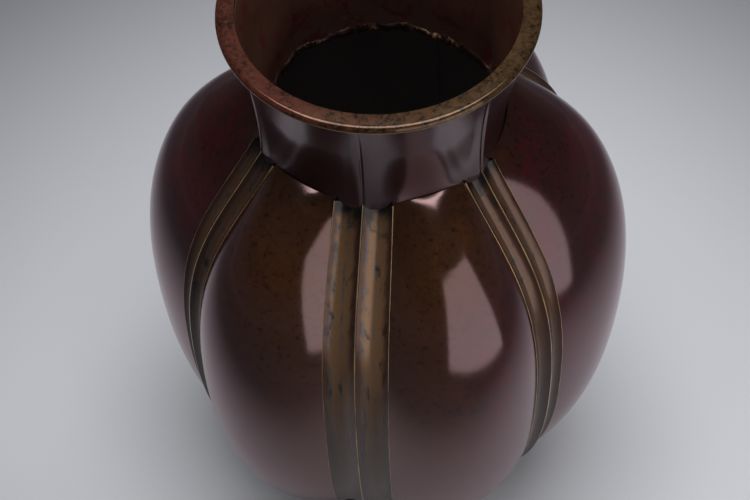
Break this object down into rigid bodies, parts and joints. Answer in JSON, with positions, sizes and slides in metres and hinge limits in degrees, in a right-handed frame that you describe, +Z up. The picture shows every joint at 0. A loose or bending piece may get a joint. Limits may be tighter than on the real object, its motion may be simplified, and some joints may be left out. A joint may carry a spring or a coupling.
{
  "type": "bronze vase",
  "caption": "Lobed bronze vase with a waisted neck, a flat-lipped open mouth, twin-fluted bands between the lobes and a low foot ring.",
  "frame": {"origin": "centre of the foot ring's underside, on the surface that the vase stands on", "axes": "+Z up along the vase's axis, out of the mouth; one fluted band faces -Y"},
  "size_m": [0.2536, 0.2356, 0.36],
  "materials": {
    "lobe_bronze": "dark red-brown patina, polished",
    "band_bronze": "worn bronze-brown patina, satin",
    "neck_bronze": "dark purple-brown patina, polished",
    "lip_bronze": "mottled red to olive-brown patina, satin, worn bright at its edge",
    "braze_bronze": "rough, scratched braze metal",
    "foot_bronze": "dark brown patina, satin"
  },
  "bodies": {
    "root": {"lobe_1": "lobe_bronze", "lobe_2": "lobe_bronze", "lobe_3": "lobe_bronze", "lobe_4": "lobe_bronze", "lobe_5": "lobe_bronze", "lobe_6": "lobe_bronze", "fluted_band_1": "band_bronze", "fluted_band_2": "band_bronze", "fluted_band_3": "band_bronze", "fluted_band_4": "band_bronze", "fluted_band_5": "band_bronze", "fluted_band_6": "band_bronze", "neck_collar": "neck_bronze", "mouth_ring": "lip_bronze", "neck_joint_bead": "braze_bronze", "foot_ring": "foot_bronze", "base_plate": "foot_bronze"}
  },
  "joints": []
}
